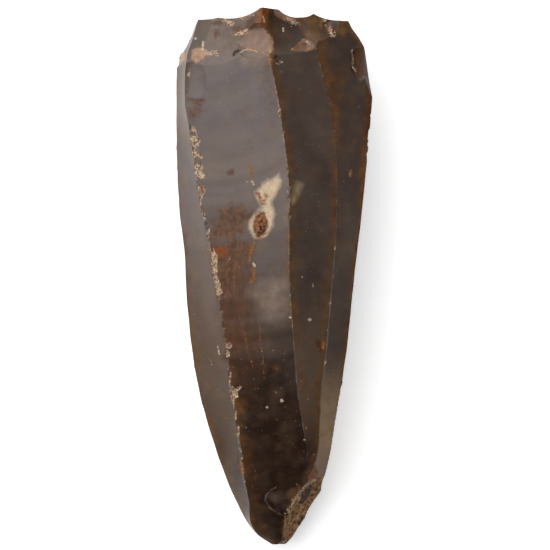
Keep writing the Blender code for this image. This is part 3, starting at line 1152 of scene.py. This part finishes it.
@dataclass
class Stone:
    """The knapped surface: where every line of the net leaves the stone, and its mesh.

    pull keeps a corner near its neighbours' middle where their planes hardly meet. Edges are
    sharp that bend by more degrees than sharp, or between two scars than arris_sharp. Lumps of
    the rind and the pit measure lump and small_lump, in millimetres, and the small ones stand
    small_share as high. A relief is how far lumps stand and how far the surface under them
    lies in, and pit_edge is how wide the pit's slope is.
    """

    blank: Blank
    net: Net
    hollows: list[Hollow]
    colouring: Colouring
    pull: float = 0.03
    sharp: float = 22.0
    arris_sharp: float = 5.0
    lump: float = 1.3
    small_lump: float = 0.6
    small_share: float = 0.6
    rind_relief: tuple[float, float] = (0.25, 0.1)
    pit_relief: tuple[float, float] = (0.2, 0.55)
    pit_edge: float = 0.8

    def strike(self) -> tuple[Array, Array, Array]:
        """Cuts every line short at the first hollow that it meets.

        Returns:
            The points, which way the stone faces there, and the number of the hollow, or -1
            where the blank is left.
        """
        starts, ends, facing, waves = self.net.lines()
        shape = ends.shape
        start, ray = starts.reshape(-1, 3), (ends - starts).reshape(-1, 3)
        facing, waves = facing.reshape(-1, 3).copy(), waves.ravel()
        kept = np.ones(len(ray))
        owner = np.full(len(ray), -1)
        long = np.linalg.norm(ray, axis=1)
        for number, hollow in enumerate(self.hollows):
            centre = hollow.centre - start
            nearest = np.clip(np.einsum("ij,ij->i", centre, ray) / long**2, 0, 1)
            gap = np.linalg.norm(centre - ray * nearest[:, None], axis=1)
            near = np.flatnonzero(gap < hollow.radii.max())
            t, faces = hollow.meets(start[near], ray[near])
            cut = t < kept[near]
            kept[near[cut]] = t[cut]
            facing[near[cut]] = faces[cut]
            owner[near[cut]] = number
        points = start + ray * kept[:, None]
        waves = np.where(owner < 0, waves, 0.0)
        for number, hollow in enumerate(self.hollows):
            mine = owner == number
            waves[mine] = hollow.ripples(points[mine])
        points = points + facing * waves[:, None]
        return points.reshape(shape), facing.reshape(shape), owner.reshape(shape[:2])

    def meet(self, points: Array, facing: Array) -> Array:
        """Puts a corner between each four neighbours of the net, where their planes meet.

        Args:
            points: The points of the net, as rows by columns by x, y and z.
            facing: Which way the stone faces at each.

        Returns:
            The corners, with one row less.
        """
        around = [
            (grid[:-1], grid[1:], np.roll(grid, -1, 1)[:-1], np.roll(grid, -1, 1)[1:])
            for grid in (points, facing)
        ]
        p, n = (np.stack(four, 2).reshape(-1, 4, 3) for four in around)
        middle = p.mean(axis=1)
        planes = np.einsum("kij,kil->kjl", n, n) + self.pull * np.eye(3)
        offset = np.einsum("kij,kil,kil->kj", n, n, p - middle[:, None])
        moved = np.linalg.solve(planes, offset[..., None])[..., 0]
        reach = np.linalg.norm(p - middle[:, None], axis=2).max(axis=1)
        far = np.linalg.norm(moved, axis=1)
        moved *= np.minimum(1, reach / np.maximum(far, TINY))[:, None]
        return (middle + moved).reshape(points.shape[0] - 1, points.shape[1], 3)

    def wear(self, corners: Array, scar: Array, facing: Array, rind: Array) -> Array:
        """Roughens the rind and sinks the crusty pit.

        Args:
            corners: The corners of the mesh.
            scar: The number of the long scar that each is on.
            facing: Which way the stone faces at each point of the net.
            rind: How far each corner is rind, from 0 to 1.

        Returns:
            The corners, moved.
        """
        pit = self.colouring.fields(corners, scar, {})["crust"]
        small = rough(corners, self.small_lump * MM, seed=7.0)
        lumps = rough(corners, self.lump * MM) + self.small_share * small
        rind_out, pit_out = (
            stand * lumps - sink for stand, sink in (self.rind_relief, self.pit_relief)
        )
        depth = rind * rind_out + ease(0.5 - pit / self.pit_edge) * pit_out
        out = (facing + np.roll(facing, -1, 1)).reshape(len(facing), -1)
        out = unit((out[:-1] + out[1:]).reshape(-1, 3))
        return corners + out * depth[:, None] * MM

    def mesh(self, name: str) -> bpy.types.Object:
        """Builds the stone as one closed mesh, with the fields that its finish reads.

        Args:
            name: The name of the piece.

        Returns:
            The piece.
        """
        points, facing, owner = self.strike()
        corners = self.meet(points, facing)
        rows, columns = corners.shape[:2]
        scar = np.tile(self.net.scar, (rows, 1))
        worn = self.patinas(owner)
        flat = self.wear(corners.reshape(-1, 3), scar.ravel(), facing, worn[Patina.RIND.value][:-2])
        vertices = np.concatenate([flat, points[:1].mean(axis=1), points[-1:].mean(axis=1)])
        index = np.arange(rows * columns).reshape(rows, columns)
        before = np.roll(index, 1, 1)
        quads = np.stack([before[:-1], index[:-1], index[1:], before[1:]], -1).reshape(-1, 4)
        tip_end, top_end = (np.full(columns, rows * columns + k) for k in (0, 1))
        tip = np.stack([index[0], before[0], tip_end], -1)
        top = np.stack([before[-1], index[-1], top_end], -1)
        mesh = bpy.data.meshes.new(name)
        mesh.from_pydata(vertices.tolist(), [], quads.tolist() + tip.tolist() + top.tolist())
        mesh.shade_smooth()
        piece = owner * len(self.blank.arrises) + self.net.scar
        self.crease(mesh, np.concatenate([piece[1:-1].ravel(), piece[0], piece[-1]]))
        self.unwrap(mesh, flat.reshape(corners.shape))
        whole_scar = np.concatenate([scar.ravel(), [RIGHT_EDGE] * 2])
        for key, value in self.colouring.fields(vertices, whole_scar, worn).items():
            mesh.attributes.new(key, "FLOAT", "POINT").data.foreach_set("value", value)
        stone = bpy.data.objects.new(name, mesh)
        bpy.context.scene.collection.objects.link(stone)
        return stone

    def patinas(self, owner: Array) -> dict[str, Array]:
        """Works out where the scars have weathered.

        Args:
            owner: The number of the hollow that each point of the net is on, or -1.

        Returns:
            How far each corner, and then each end, has each weathering, from 0 to 1.
        """
        kinds = np.array([h.flake.patina.value for h in self.hollows] + [Patina.FLINT.value])
        made = {}
        for kind in list(Patina)[1:]:
            has = (kinds[owner] == kind.value).astype(float)
            both = (has + np.roll(has, -1, 1)) / 2
            made[kind.value] = np.concatenate([((both[:-1] + both[1:]) / 2).ravel(), [0, 0]])
        return made

    def crease(self, mesh: bpy.types.Mesh, piece: Array) -> None:
        """Marks the edges that stay sharp: steep ones, and lesser ones between two scars.

        Args:
            mesh: The mesh.
            piece: A number for each face, which differs from one scar to another.
        """
        edges = np.empty(len(mesh.loops), int)
        mesh.loops.foreach_get("edge_index", edges)
        sides = np.empty(len(mesh.polygons), int)
        mesh.polygons.foreach_get("loop_total", sides)
        normals = np.empty(len(mesh.polygons) * 3)
        mesh.polygons.foreach_get("normal", normals)
        normals = normals.reshape(-1, 3)
        face = np.repeat(np.arange(len(sides)), sides)
        order = np.argsort(edges, kind="stable")
        first, second = face[order][0::2], face[order][1::2]
        bend = np.einsum("ij,ij->i", normals[first], normals[second])
        steep, lesser = (bend < math.cos(math.radians(a)) for a in (self.sharp, self.arris_sharp))
        sharp = steep | (lesser & (piece[first] != piece[second]))
        mesh.attributes.new("sharp_edge", "BOOLEAN", "EDGE").data.foreach_set("value", sharp)

    def unwrap(self, mesh: bpy.types.Mesh, corners: Array) -> None:
        """Lays the net out flat, for a painted copy of the finish.

        Args:
            mesh: The mesh.
            corners: Its corners, as rows by columns by x, y and z.
        """
        columns = corners.shape[1]
        steps = np.linalg.norm(np.diff(corners, axis=0), axis=2).mean(axis=1)
        end = steps.mean()
        tall = (np.concatenate([[0], np.cumsum(steps)]) + end) / (steps.sum() + 2 * end)
        beside = np.linalg.norm(corners - np.roll(corners, 1, 1), axis=2).mean(axis=0)
        wide = np.concatenate([[0], np.cumsum(beside)]) / beside.sum()
        grid = np.stack(np.meshgrid(wide, tall), -1)
        quads = np.stack([grid[:-1, :-1], grid[:-1, 1:], grid[1:, 1:], grid[1:, :-1]], 2)
        middle = (wide[:-1] + wide[1:]) / 2
        foot, head = (np.stack([middle, np.full(columns, v)], -1) for v in (0.0, 1.0))
        tip = np.stack([grid[0, 1:], grid[0, :-1], foot], 1)
        top = np.stack([grid[-1, :-1], grid[-1, 1:], head], 1)
        flat = np.concatenate([quads.ravel(), tip.ravel(), top.ravel()])
        mesh.uv_layers.new(name="OFBake").data.foreach_set("uv", flat)


def linear(colour: str) -> tuple[float, float, float, float]:
    """Turns a colour to linear.

    Args:
        colour: Its sRGB hex value, such as #2a160a.

    Returns:
        Its linear red, green and blue, and its alpha.
    """
    shares = [int(colour[k:k + 2], 16) / 255 for k in (1, 3, 5)]
    red, green, blue = (
        s / 12.92 if s <= 0.04045 else ((s + 0.055) / 1.055) ** 2.4 for s in shares
    )
    return red, green, blue, 1.0


def add(
    tree: bpy.types.NodeTree, kind: str, links: dict[int | str, object], output: str = "",
    **settings: object,
) -> Socket | None:
    """Adds a node to a material or to a world.

    Args:
        tree: The nodes.
        kind: The node's type, without its ShaderNode prefix.
        links: What each input takes: another node's output, or a value.
        output: The name of the output that is wanted, where it isn't the first in use.
        settings: The node's own properties.

    Returns:
        The output, or None where the node has none.
    """
    node = tree.nodes.new("ShaderNode" + kind)
    for name, value in settings.items():
        setattr(node, name, value)
    for key, value in links.items():
        if isinstance(value, Socket):
            tree.links.new(value, node.inputs[key])
        else:
            node.inputs[key].default_value = value
    if output:
        return node.outputs[output]
    return next((socket for socket in node.outputs if socket.enabled), None)


def bare_material(name: str) -> bpy.types.Material:
    """Makes a material that has no nodes yet.

    Args:
        name: Its name.

    Returns:
        The material.
    """
    made = bpy.data.materials.new(name)
    made.use_nodes = True
    made.node_tree.nodes.clear()
    return made


@dataclass(frozen=True)
class Layer:
    """A colour that lies over those before it, where a field of the mesh says so.

    It begins where the field is at start and covers where it is at full. Noise moves its edge
    by up to wobble, in lumps of grain millimetres. The colour itself wanders between first
    and second in patches of this many millimetres. Both are longer along the stone by stretch.
    """

    name: str
    first: str
    second: str
    start: float
    full: float
    wobble: float
    grain: float
    patches: float
    roughness: float
    cover: float = 1.0
    stretch: float = 1.0


@dataclass(frozen=True)
class Flecks:
    """Specks of tiny fossils, one to a cell of this many millimetres.

    radius is the largest one's, as a share of its cell, and cover how much it hides.
    """

    colour: str
    cell: float
    radius: float
    cover: float


@dataclass(frozen=True)
class KnappedFlint:
    """Flint as a blow leaves it, then long buried: a dense, waxy satin over depths of brown.

    Its refractive index is quartz's. The surface scatters a little, so lights show as a soft
    grey sheen on the scars that face them and the stone's own brown shows on those that don't.
    Patches, grain and drifts are in millimetres, and noise_apart, which moves each layer's
    noise off that of the one before, in metres. A spread is the part of a noise's range, from
    0 to 1, that is used. The faint flecks lean by slant, in radians.
    """

    body: str = "#2a160a"
    body_dark: str = "#1b0d06"
    body_patches: float = 14.0
    noise_apart: float = 0.013
    edge_spread: tuple[float, float] = (0.25, 0.75)
    patch_spread: tuple[float, float] = (0.35, 0.65)
    drift_spread: tuple[float, float] = (0.32, 0.55)
    ior: float = 1.47
    roughness: float = 0.36
    specular: float = 0.34
    layers: tuple[Layer, ...] = (
        # Milky clouds of tiny cavities inside the stone turn it smoky, ashen where they are
        # thinner, or beige where there is iron among them.
        Layer("smoke", "#62564f", "#5c5152", 0, 1, 0.12, 8, 5, 0.36),
        Layer("ash", "#554a41", "#50413b", 0, 1, 0.18, 9, 6, 0.36, 1, 1.6),
        # Beige haze, which on the first scar near the platform is also a painted highlight of the bulb.
        Layer("haze", "#82694f", "#75604c", 0, 1, 0.1, 5, 5, 0.36),
        Layer("honey", "#997f66", "#8b735a", 0, 1, 0.1, 5, 3, 0.36),
        # A darker brown over the trimmed area under the rim.
        Layer("dusk", "#49372b", "#5a473a", 1.8, -1.8, 1, 3, 1.5, 0.36, 0.6),
        Layer("cloud", "#7d6b5e", "#6e5c50", 2.2, -2.8, 1.8, 3.5, 2.5, 0.36, 0.85),
        # Thin edges let light through, and glow the colour of strong tea.
        Layer("thin", "#6e4a26", "#543518", 0.1, 0.9, 0.35, 4, 2.5, 0.36),
        Layer("glow", "#65482a", "#4e351e", 0.5, -0.5, 0.4, 1.5, 1.5, 0.4),
        Layer("umber", "#41230f", "#553118", 0.5, -0.4, 0.5, 1, 0.9, 0.45, 0.85),
        Layer("amber", "#774420", "#553114", 0.5, -0.4, 0.4, 1.2, 1, 0.45),
        Layer("earth", "#583620", "#472a15", 1.6, -1.4, 1.4, 2.6, 1.6, 0.4, 0.85, 2),
        Layer("brew", "#40220e", "#331c0c", 1.4, -1.2, 1.2, 2.6, 2, 0.4, 0.9, 1.5),
        Layer("tea", "#482810", "#6a4424", 1.1, -1.1, 1.4, 2, 1.1, 0.5, 0.85, 1.3),
        Layer("ghost", "#a08d6e", "#86745a", 0.9, -0.7, 0.2, 1.5, 2, 0.4, 0.8),
        # A painted sheen: bluish-grey highlights beside the smooth arrises.
        Layer("sheen", "#67605c", "#79767a", 0.3, 0.9, 0.25, 2, 1.5, 0.36, 0.8, 3),
        # Facets that a soft knock left rough scatter more light.
        Layer("tan", "#85614a", "#644a38", 0.2, -0.3, 0.25, 1, 1.2, 0.45),
        Layer("pale", "#755c4b", "#82695a", 0.2, -0.2, 0.25, 1, 1.5, 0.45),
        Layer("peach", "#b08a6c", "#9a765c", 0.3, -0.2, 0.25, 0.8, 1.2, 0.5, 0.9),
        # A chalky inclusion that the blow cut through, and its weathered core.
        Layer("chalk", "#c3af98", "#b8a07f", 0.45, -0.7, 0.3, 1.2, 0.8, 0.7),
        Layer("crust", "#9c6440", "#6c432b", 0.3, -0.2, 0.5, 0.9, 0.8, 0.85),
        Layer("crust", "#2c1a10", "#3e2416", -1.2, -1.7, 1, 0.6, 0.5, 0.9),
        # Iron from the soil has soaked into the finest cracks.
        Layer("rust", "#8c440e", "#603310", 0.3, -0.4, 0.6, 0.8, 0.6, 0.6, 0.9),
        Layer("seep", "#8f5a22", "#6b3f18", 0, -0.25, 0.5, 0.5, 0.6, 0.6, 0.85),
        # Ochre is iron, with a painted highlight on the ledge and a painted glint on a chip.
        Layer("ochre", "#ad8050", "#7d4c24", 0.1, -0.2, 0.3, 0.6, 0.5, 0.6, 0.9),
        Layer("rusty", "#6b3612", "#8f5224", 0.4, 0.6, 0.15, 0.6, 0.6, 0.6),
        # Crushed arrises are bruised white and hold soil.
        Layer("worn", "#b09c86", "#7c6656", 0.42, 0.9, 0.4, 0.9, 0.6, 0.6, 0.8),
        Layer("pale_scar", "#b09078", "#6d4836", 0.4, 0.6, 0.15, 0.8, 0.6, 0.6),
        Layer("chalky", "#c9b196", "#6d4e39", 0.4, 0.65, 0.5, 0.5, 0.45, 0.8, 1, 1.5),
        # The rind that the nodule grew in: limy, pitted and dull.
        Layer("rind", "#ab8056", "#5f4126", 0.4, 0.6, 0.2, 0.9, 1.3, 0.9),
        Layer("rind", "#2a1f17", "#3a2d22", 1.12, 1.25, 0.45, 0.9, 0.8, 0.9),
        # Crumbs of chalk and soil cling to the rim and in the cracks.
        Layer("crumbs", "#c2a98f", "#8a6245", 0.2, -0.25, 1, 0.5, 0.4, 0.6, 0.9),
        # Painted highlights along the lips of scars.
        Layer("lip", "#6f6052", "#55483d", 0.1, -0.15, 0.2, 1.2, 2, 0.4, 0.85),
        # Cream specks of chalk, with a painted highlight on the ledge and a painted glint.
        Layer("cream", "#c9b89f", "#a98f74", 0.1, -0.15, 0.2, 0.6, 0.8, 0.7),
        Layer("slate", "#2c1f17", "#46382d", 0.4, -0.3, 0.6, 0.8, 0.8, 0.9, 0.95),
        # Painted shadows under the ledge's lip and in chip hollows.
        Layer("cracks", "#150d08", "#2c1a0f", 0.15, -0.15, 0.25, 0.6, 0.8, 0.6),
    )
    # Flint's own grain is far too fine to show, so it is drawn this coarse, to break up the gloss.
    grain: float = 0.55
    grain_height: float = 0.03
    grain_strength: float = 0.35
    drifts: float = 16.0
    slant: float = 0.6
    faint: Flecks = Flecks("#85776a", 1.2, 0.115, 0.65)
    bright: Flecks = Flecks("#b8a994", 3.6, 0.052, 0.8)

    def material(self) -> bpy.types.Material:
        """Builds the finish.

        Returns:
            The material.
        """
        made = bare_material("knapped_flint")
        tree = made.node_tree
        place = add(tree, "TexCoord", {}, "Object")
        depth = add(tree, "TexNoise", {"Vector": place, "Scale": 1 / (self.body_patches * MM)})
        ends = {6: linear(self.body_dark), 7: linear(self.body)}
        colour = add(tree, "Mix", {0: depth, **ends}, data_type="RGBA")
        roughness: Socket | float = self.roughness
        for number, layer in enumerate(self.layers):
            colour, roughness = self.lay(tree, place, layer, number, colour, roughness)
        colour = self.flecks(tree, place, colour)
        grain = add(tree, "TexNoise", {
            "Vector": place, "Scale": 1 / (self.grain * MM), "Detail": 3,
        })
        bump = add(tree, "Bump", {
            "Height": grain, "Strength": self.grain_strength, "Distance": self.grain_height * MM,
        })
        shader = add(tree, "BsdfPrincipled", {
            "Base Color": colour, "Roughness": roughness, "Normal": bump, "IOR": self.ior,
            "Specular IOR Level": self.specular,
        })
        add(tree, "OutputMaterial", {"Surface": shader})
        return made

    def lay(
        self, tree: bpy.types.NodeTree, place: Socket, layer: Layer, number: int,
        colour: Socket, roughness: Socket | float,
    ) -> tuple[Socket, Socket]:
        """Lays one layer over the colour and roughness so far.

        Args:
            tree: The material's nodes.
            place: The place on the stone.
            layer: The layer.
            number: Its number, which moves its noise off that of the others.
            colour: The colour so far.
            roughness: The roughness so far.

        Returns:
            The new colour and the new roughness.
        """
        moved = add(tree, "VectorMath", {0: place, 1: (self.noise_apart * number,) * 3})
        along = (1.0, 1 / layer.stretch, 1.0)
        moved = add(tree, "VectorMath", {0: moved, 1: along}, operation="MULTIPLY")
        edges, patches = (
            add(tree, "TexNoise", {"Vector": moved, "Scale": 1 / (size * MM), "Detail": 3})
            for size in (layer.grain, layer.patches)
        )
        low, high = self.edge_spread
        edge = add(tree, "MapRange", {
            "Value": edges, "From Min": low, "From Max": high,
            "To Min": -layer.wobble, "To Max": layer.wobble,
        })
        field = add(tree, "Attribute", {}, "Fac", attribute_name=layer.name)
        reached = add(tree, "Math", {0: field, 1: edge}, operation="ADD")
        cover = add(tree, "MapRange", {
            "Value": reached, "From Min": layer.start, "From Max": layer.full,
            "To Max": layer.cover,
        })
        low, high = self.patch_spread
        share = add(tree, "MapRange", {"Value": patches, "From Min": low, "From Max": high})
        ends = {6: linear(layer.first), 7: linear(layer.second)}
        own = add(tree, "Mix", {0: share, **ends}, data_type="RGBA")
        return (
            add(tree, "Mix", {0: cover, 6: colour, 7: own}, data_type="RGBA"),
            add(tree, "Mix", {0: cover, 2: roughness, 3: layer.roughness}),
        )

    def flecks(self, tree: bpy.types.NodeTree, place: Socket, colour: Socket) -> Socket:
        """Adds the specks of tiny fossils, in drifts: many faint ones and a few white ones.

        Args:
            tree: The material's nodes.
            place: The place on the stone.
            colour: The colour so far.

        Returns:
            The new colour.
        """
        drift = add(tree, "TexNoise", {"Vector": place, "Scale": 1 / (self.drifts * MM)})
        leaning = add(
            tree, "VectorRotate", {"Vector": place, "Angle": self.slant}, rotation_type="Z_AXIS"
        )
        twice_as_long = {0: leaning, 1: (1.0, 0.5, 1.0)}
        leaning = add(tree, "VectorMath", twice_as_long, operation="MULTIPLY")
        low, high = self.drift_spread
        for way, kind in ((leaning, self.faint), (place, self.bright)):
            cells = add(tree, "TexVoronoi", {"Vector": way, "Scale": 1 / (kind.cell * MM)})
            full = add(tree, "MapRange", {
                "Value": drift, "From Min": low, "From Max": high, "To Max": kind.radius,
            })
            inside = add(tree, "Math", {0: full, 1: cells}, operation="SUBTRACT")
            speck = add(tree, "MapRange", {
                "Value": inside, "From Max": kind.radius / 2, "To Max": kind.cover,
            })
            speckled = {0: speck, 6: colour, 7: linear(kind.colour)}
            colour = add(tree, "Mix", speckled, data_type="RGBA")
        return colour


@dataclass(frozen=True)
class MattWhiteCard:
    """Matt white card: evenly pale, without gloss, and with a glow that lifts its shadows."""

    white: str = "#f4f4f4"
    roughness: float = 0.9
    glow: float = 0.6

    def material(self) -> bpy.types.Material:
        """Builds the finish.

        Returns:
            The material.
        """
        made = bare_material("matt_white_card")
        tree, white = made.node_tree, linear(self.white)
        shader = add(tree, "BsdfPrincipled", {
            "Base Color": white, "Roughness": self.roughness, "Specular IOR Level": 0.0,
            "Emission Color": white, "Emission Strength": self.glow,
        })
        add(tree, "OutputMaterial", {"Surface": shader})
        return made


@dataclass
class Studio:
    """A white table under a soft light from the upper left, in a room that is dark opposite.

    towards_light points from the stone to the middle of the light. Its edge is soft between
    the cosines of light_edge, where the ceiling turns from dim to bright. The horizon's glow
    fades out between the heights of skyline. Lengths are in metres, and framed is how far the
    middle of the picture is off the stone's.
    """

    centre: Array
    towards_light: tuple[float, float, float] = (-0.45, 0.5, 0.74)
    light_edge: tuple[float, float] = (0.7, 0.82)
    dim: float = 0.08
    bright: float = 3.6
    skyline: tuple[float, float] = (0.05, 0.12)
    horizon: float = 1.05
    table: float = 4.0
    card: MattWhiteCard = MattWhiteCard()
    camera_height: float = 1.25
    field_of_view: float = 0.1439
    framed: tuple[float, float] = (0.00026, 0.0008)

    def build(self) -> None:
        """Makes the table, the light and the camera."""
        self.lay_table()
        self.light()
        self.place_camera()

    def lay_table(self) -> None:
        """Lays the flat white table that the stone lies on."""
        half = self.table / 2
        mesh = bpy.data.meshes.new("table")
        corners = [(-half, -half, 0), (half, -half, 0), (half, half, 0), (-half, half, 0)]
        mesh.from_pydata(corners, [], [(0, 1, 2, 3)])
        mesh.materials.append(self.card.material())
        table = bpy.data.objects.new("table", mesh)
        bpy.context.scene.collection.objects.link(table)

    def light(self) -> None:
        """Lights the room from its ceiling, and least from the lower right."""
        world = bpy.data.worlds.new("studio")
        bpy.context.scene.world = world
        world.use_nodes = True
        tree = world.node_tree
        tree.nodes.clear()
        way = add(tree, "TexCoord", {}, "Generated")
        light = tuple(Vector(self.towards_light).normalized())
        nearness = add(tree, "VectorMath", {0: way, 1: light}, "Value", operation="DOT_PRODUCT")
        height = add(tree, "SeparateXYZ", {0: way}, "Z")
        ceiling, horizon = (
            add(tree, "MapRange", {
                "Value": value, "From Min": edge[0], "From Max": edge[1],
                "To Min": before, "To Max": beyond,
            }, interpolation_type="SMOOTHSTEP")
            for value, edge, before, beyond in (
                (nearness, self.light_edge, self.dim, self.bright),
                (height, self.skyline, self.horizon, 0.0),
            )
        )
        strength = add(tree, "Math", {0: ceiling, 1: horizon}, operation="MAXIMUM")
        glow = add(tree, "Background", {"Strength": strength})
        add(tree, "OutputWorld", {"Surface": glow})

    def place_camera(self) -> None:
        """Hangs the camera straight over the stone."""
        data = bpy.data.cameras.new("camera")
        data.sensor_width = 36.0
        data.lens = data.sensor_width * self.camera_height / self.field_of_view
        data.clip_end = 50.0
        camera = bpy.data.objects.new("camera", data)
        camera.location = self.centre + np.array([*self.framed, self.camera_height])
        bpy.context.scene.collection.objects.link(camera)
        bpy.context.scene.camera = camera
        bpy.context.scene.view_settings.view_transform = "Standard"


def main() -> None:
    """Builds the stone and the studio around it."""
    logging.basicConfig(level=logging.INFO, format="%(name)s: %(message)s")
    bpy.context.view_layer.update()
    low, high = (np.array(corner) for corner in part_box(NODE))
    blank = Blank(low, high)
    stone = Stone(blank, Net(blank), Knapping(blank).hollows(), Colouring(blank))
    flint = stone.mesh("knapped_stone")
    flint.data.materials.append(KnappedFlint().material())
    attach(flint, "root")
    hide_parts(NODE)
    LOG.info("knapped_stone: %d faces", len(flint.data.polygons))
    studio = Studio((low + high) / 2)
    studio.build()
    LOG.info("table: %g m of matt white card", studio.table)


if __name__ == "__main__":
    main()
